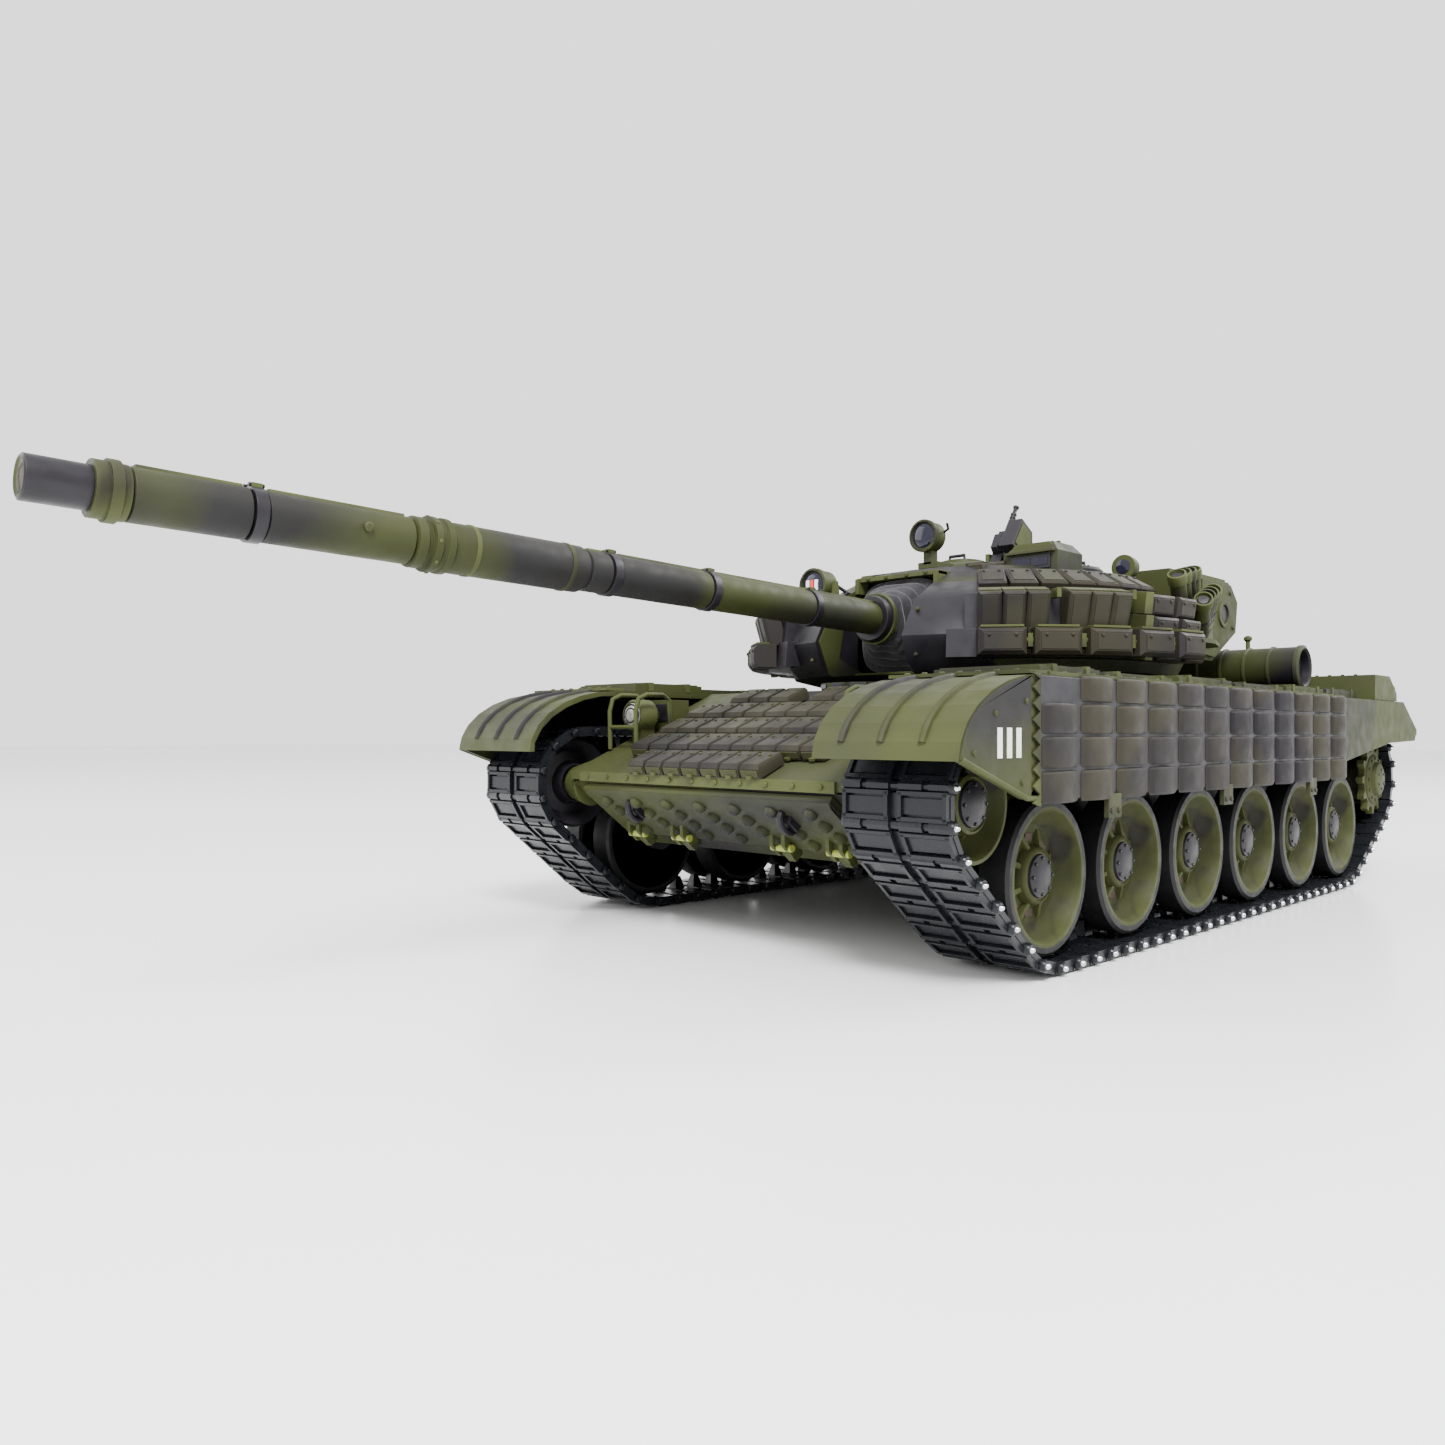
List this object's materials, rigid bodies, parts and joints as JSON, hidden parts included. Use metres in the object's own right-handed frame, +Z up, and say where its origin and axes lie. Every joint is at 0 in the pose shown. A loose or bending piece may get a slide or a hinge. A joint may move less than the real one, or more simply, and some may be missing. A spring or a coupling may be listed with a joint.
{
  "type": "rc tank",
  "caption": "Radio-controlled scale battle tank with reactive armour: traversing turret, elevating gun, sprung road wheels, sprockets and closed track bands.",
  "frame": {"origin": "on the ground, under the middle of the whole object's footprint, gun included", "axes": "+Z up, -Y towards the muzzle, +X to the tank's left"},
  "size_m": [0.2324, 0.607, 0.1829],
  "materials": {
    "camouflage_paint": "matt sprayed green and dark violet grey camouflage",
    "armour_brick": "matt brownish grey-olive spray",
    "gun_paint": "matt sprayed bands of green and dark violet grey",
    "canvas": "folded canvas",
    "dark_gun": "satin black-grey",
    "track_metal": "blackened links with bright pin ends",
    "wheel_paint": "olive rims with black rubber tyres",
    "arm_steel": "satin black",
    "battery_wrap": "shrink wrap",
    "circuit_board": "solder mask",
    "gearbox_steel": "plain steel"
  },
  "bodies": {
    "hull": {"lower_hull": "camouflage_paint", "upper_hull": "camouflage_paint", "engine_deck": "camouflage_paint", "glacis_armour": "armour_brick", "dozer_blade": "camouflage_paint", "left_fender": "camouflage_paint", "right_fender": "camouflage_paint", "left_skirt_armour": "armour_brick", "right_skirt_armour": "armour_brick", "left_headlight": "camouflage_paint", "right_headlight": "camouflage_paint", "exhaust_outlet": "camouflage_paint", "left_fuel_drum": "camouflage_paint", "right_fuel_drum": "camouflage_paint", "left_track": "track_metal", "right_track": "track_metal", "battery_pack": "battery_wrap", "control_board": "circuit_board", "left_drive_gearbox": "gearbox_steel", "right_drive_gearbox": "gearbox_steel"},
    "turret": {"turret_shell": "camouflage_paint", "left_turret_armour": "armour_brick", "right_turret_armour": "armour_brick", "gun_searchlight": "camouflage_paint", "turret_bins": "camouflage_paint", "snorkel_tube": "camouflage_paint", "smoke_launchers": "camouflage_paint"},
    "gun": {"gun_barrel": "gun_paint", "mantlet_cover": "canvas"},
    "cupola": {"commander_cupola": "camouflage_paint"},
    "machine_gun": {"machine_gun": "dark_gun"},
    "gunner_hatch": {"gunner_hatch": "camouflage_paint"},
    "left_sprocket": {"left_drive_sprocket": "wheel_paint"},
    "left_idler": {"left_idler_wheel": "wheel_paint"},
    "left_arm_1": {"left_swing_arm_1": "arm_steel"},
    "left_wheel_1": {"left_road_wheel_1": "wheel_paint"},
    "left_arm_2": {"left_swing_arm_2": "arm_steel"},
    "left_wheel_2": {"left_road_wheel_2": "wheel_paint"},
    "left_arm_3": {"left_swing_arm_3": "arm_steel"},
    "left_wheel_3": {"left_road_wheel_3": "wheel_paint"},
    "left_arm_4": {"left_swing_arm_4": "arm_steel"},
    "left_wheel_4": {"left_road_wheel_4": "wheel_paint"},
    "left_arm_5": {"left_swing_arm_5": "arm_steel"},
    "left_wheel_5": {"left_road_wheel_5": "wheel_paint"},
    "left_arm_6": {"left_swing_arm_6": "arm_steel"},
    "left_wheel_6": {"left_road_wheel_6": "wheel_paint"},
    "right_sprocket": {"right_drive_sprocket": "wheel_paint"},
    "right_idler": {"right_idler_wheel": "wheel_paint"},
    "right_arm_1": {"right_swing_arm_1": "arm_steel"},
    "right_wheel_1": {"right_road_wheel_1": "wheel_paint"},
    "right_arm_2": {"right_swing_arm_2": "arm_steel"},
    "right_wheel_2": {"right_road_wheel_2": "wheel_paint"},
    "right_arm_3": {"right_swing_arm_3": "arm_steel"},
    "right_wheel_3": {"right_road_wheel_3": "wheel_paint"},
    "right_arm_4": {"right_swing_arm_4": "arm_steel"},
    "right_wheel_4": {"right_road_wheel_4": "wheel_paint"},
    "right_arm_5": {"right_swing_arm_5": "arm_steel"},
    "right_wheel_5": {"right_road_wheel_5": "wheel_paint"},
    "right_arm_6": {"right_swing_arm_6": "arm_steel"},
    "right_wheel_6": {"right_road_wheel_6": "wheel_paint"}
  },
  "joints": [
    {"name": "turret_traverse", "type": "hinge", "parent": "hull", "child": "turret", "pos_m": [0, 0.0585, 0.088], "axis": [0, 0, 1], "range_deg": [-170, 170]},
    {"name": "gun_elevation", "type": "hinge", "parent": "turret", "child": "gun", "pos_m": [0, 0.0125, 0.1136], "axis": [-1, 0, 0], "range_deg": [-3, 12]},
    {"name": "cupola_traverse", "type": "hinge", "parent": "turret", "child": "cupola", "pos_m": [-0.024, 0.0845, 0.14], "axis": [0, 0, 1], "continuous": true},
    {"name": "machine_gun_elevation", "type": "hinge", "parent": "cupola", "child": "machine_gun", "pos_m": [-0.022, 0.1125, 0.154], "axis": [1, 0, 0], "range_deg": [-60, 14]},
    {"name": "gunner_hatch_hinge", "type": "hinge", "parent": "turret", "child": "gunner_hatch", "pos_m": [0.028, 0.0717, 0.1402], "axis": [1, 0, 0], "range_deg": [0, 100]},
    {"name": "left_sprocket_spin", "type": "hinge", "parent": "hull", "child": "left_sprocket", "pos_m": [0.088, 0.2545, 0.048], "axis": [1, 0, 0], "continuous": true},
    {"name": "left_idler_spin", "type": "hinge", "parent": "hull", "child": "left_idler", "pos_m": [0.088, -0.102, 0.0508], "axis": [1, 0, 0], "continuous": true},
    {"name": "left_arm_1_swing", "type": "hinge", "parent": "hull", "child": "left_arm_1", "pos_m": [0.07, -0.0779, 0.0366], "axis": [1, 0, 0], "range_deg": [0, 12], "stiffness_Nm_per_rad": 0.6, "springref_deg": -5.73},
    {"name": "left_wheel_1_spin", "type": "hinge", "parent": "left_arm_1", "child": "left_wheel_1", "pos_m": [0.088, -0.0649, 0.0281], "axis": [1, 0, 0], "continuous": true},
    {"name": "left_arm_2_swing", "type": "hinge", "parent": "hull", "child": "left_arm_2", "pos_m": [0.07, -0.02424, 0.0366], "axis": [1, 0, 0], "range_deg": [0, 12], "stiffness_Nm_per_rad": 0.6, "springref_deg": -5.73},
    {"name": "left_wheel_2_spin", "type": "hinge", "parent": "left_arm_2", "child": "left_wheel_2", "pos_m": [0.088, -0.01124, 0.0281], "axis": [1, 0, 0], "continuous": true},
    {"name": "left_arm_3_swing", "type": "hinge", "parent": "hull", "child": "left_arm_3", "pos_m": [0.07, 0.02942, 0.0366], "axis": [1, 0, 0], "range_deg": [0, 12], "stiffness_Nm_per_rad": 0.6, "springref_deg": -5.73},
    {"name": "left_wheel_3_spin", "type": "hinge", "parent": "left_arm_3", "child": "left_wheel_3", "pos_m": [0.088, 0.04242, 0.0281], "axis": [1, 0, 0], "continuous": true},
    {"name": "left_arm_4_swing", "type": "hinge", "parent": "hull", "child": "left_arm_4", "pos_m": [0.07, 0.08308, 0.0366], "axis": [1, 0, 0], "range_deg": [0, 12], "stiffness_Nm_per_rad": 0.6, "springref_deg": -5.73},
    {"name": "left_wheel_4_spin", "type": "hinge", "parent": "left_arm_4", "child": "left_wheel_4", "pos_m": [0.088, 0.09608, 0.0281], "axis": [1, 0, 0], "continuous": true},
    {"name": "left_arm_5_swing", "type": "hinge", "parent": "hull", "child": "left_arm_5", "pos_m": [0.07, 0.13674, 0.0366], "axis": [1, 0, 0], "range_deg": [0, 12], "stiffness_Nm_per_rad": 0.6, "springref_deg": -5.73},
    {"name": "left_wheel_5_spin", "type": "hinge", "parent": "left_arm_5", "child": "left_wheel_5", "pos_m": [0.088, 0.14974, 0.0281], "axis": [1, 0, 0], "continuous": true},
    {"name": "left_arm_6_swing", "type": "hinge", "parent": "hull", "child": "left_arm_6", "pos_m": [0.07, 0.1904, 0.0366], "axis": [1, 0, 0], "range_deg": [0, 12], "stiffness_Nm_per_rad": 0.6, "springref_deg": -5.73},
    {"name": "left_wheel_6_spin", "type": "hinge", "parent": "left_arm_6", "child": "left_wheel_6", "pos_m": [0.088, 0.2034, 0.0281], "axis": [1, 0, 0], "continuous": true},
    {"name": "right_sprocket_spin", "type": "hinge", "parent": "hull", "child": "right_sprocket", "pos_m": [-0.088, 0.2545, 0.048], "axis": [1, 0, 0], "continuous": true},
    {"name": "right_idler_spin", "type": "hinge", "parent": "hull", "child": "right_idler", "pos_m": [-0.088, -0.102, 0.0508], "axis": [1, 0, 0], "continuous": true},
    {"name": "right_arm_1_swing", "type": "hinge", "parent": "hull", "child": "right_arm_1", "pos_m": [-0.07, -0.0779, 0.0366], "axis": [1, 0, 0], "range_deg": [0, 12], "stiffness_Nm_per_rad": 0.6, "springref_deg": -5.73},
    {"name": "right_wheel_1_spin", "type": "hinge", "parent": "right_arm_1", "child": "right_wheel_1", "pos_m": [-0.088, -0.0649, 0.0281], "axis": [1, 0, 0], "continuous": true},
    {"name": "right_arm_2_swing", "type": "hinge", "parent": "hull", "child": "right_arm_2", "pos_m": [-0.07, -0.02424, 0.0366], "axis": [1, 0, 0], "range_deg": [0, 12], "stiffness_Nm_per_rad": 0.6, "springref_deg": -5.73},
    {"name": "right_wheel_2_spin", "type": "hinge", "parent": "right_arm_2", "child": "right_wheel_2", "pos_m": [-0.088, -0.01124, 0.0281], "axis": [1, 0, 0], "continuous": true},
    {"name": "right_arm_3_swing", "type": "hinge", "parent": "hull", "child": "right_arm_3", "pos_m": [-0.07, 0.02942, 0.0366], "axis": [1, 0, 0], "range_deg": [0, 12], "stiffness_Nm_per_rad": 0.6, "springref_deg": -5.73},
    {"name": "right_wheel_3_spin", "type": "hinge", "parent": "right_arm_3", "child": "right_wheel_3", "pos_m": [-0.088, 0.04242, 0.0281], "axis": [1, 0, 0], "continuous": true},
    {"name": "right_arm_4_swing", "type": "hinge", "parent": "hull", "child": "right_arm_4", "pos_m": [-0.07, 0.08308, 0.0366], "axis": [1, 0, 0], "range_deg": [0, 12], "stiffness_Nm_per_rad": 0.6, "springref_deg": -5.73},
    {"name": "right_wheel_4_spin", "type": "hinge", "parent": "right_arm_4", "child": "right_wheel_4", "pos_m": [-0.088, 0.09608, 0.0281], "axis": [1, 0, 0], "continuous": true},
    {"name": "right_arm_5_swing", "type": "hinge", "parent": "hull", "child": "right_arm_5", "pos_m": [-0.07, 0.13674, 0.0366], "axis": [1, 0, 0], "range_deg": [0, 12], "stiffness_Nm_per_rad": 0.6, "springref_deg": -5.73},
    {"name": "right_wheel_5_spin", "type": "hinge", "parent": "right_arm_5", "child": "right_wheel_5", "pos_m": [-0.088, 0.14974, 0.0281], "axis": [1, 0, 0], "continuous": true},
    {"name": "right_arm_6_swing", "type": "hinge", "parent": "hull", "child": "right_arm_6", "pos_m": [-0.07, 0.1904, 0.0366], "axis": [1, 0, 0], "range_deg": [0, 12], "stiffness_Nm_per_rad": 0.6, "springref_deg": -5.73},
    {"name": "right_wheel_6_spin", "type": "hinge", "parent": "right_arm_6", "child": "right_wheel_6", "pos_m": [-0.088, 0.2034, 0.0281], "axis": [1, 0, 0], "continuous": true}
  ],
  "couplings": [
    {"joint": "left_idler_spin", "follows": "left_sprocket_spin", "ratio": 1.0359},
    {"joint": "left_wheel_1_spin", "follows": "left_sprocket_spin", "ratio": 0.85957},
    {"joint": "left_wheel_2_spin", "follows": "left_sprocket_spin", "ratio": 0.85957},
    {"joint": "left_wheel_3_spin", "follows": "left_sprocket_spin", "ratio": 0.85957},
    {"joint": "left_wheel_4_spin", "follows": "left_sprocket_spin", "ratio": 0.85957},
    {"joint": "left_wheel_5_spin", "follows": "left_sprocket_spin", "ratio": 0.85957},
    {"joint": "left_wheel_6_spin", "follows": "left_sprocket_spin", "ratio": 0.85957},
    {"joint": "right_idler_spin", "follows": "right_sprocket_spin", "ratio": 1.0359},
    {"joint": "right_wheel_1_spin", "follows": "right_sprocket_spin", "ratio": 0.85957},
    {"joint": "right_wheel_2_spin", "follows": "right_sprocket_spin", "ratio": 0.85957},
    {"joint": "right_wheel_3_spin", "follows": "right_sprocket_spin", "ratio": 0.85957},
    {"joint": "right_wheel_4_spin", "follows": "right_sprocket_spin", "ratio": 0.85957},
    {"joint": "right_wheel_5_spin", "follows": "right_sprocket_spin", "ratio": 0.85957},
    {"joint": "right_wheel_6_spin", "follows": "right_sprocket_spin", "ratio": 0.85957}
  ]
}
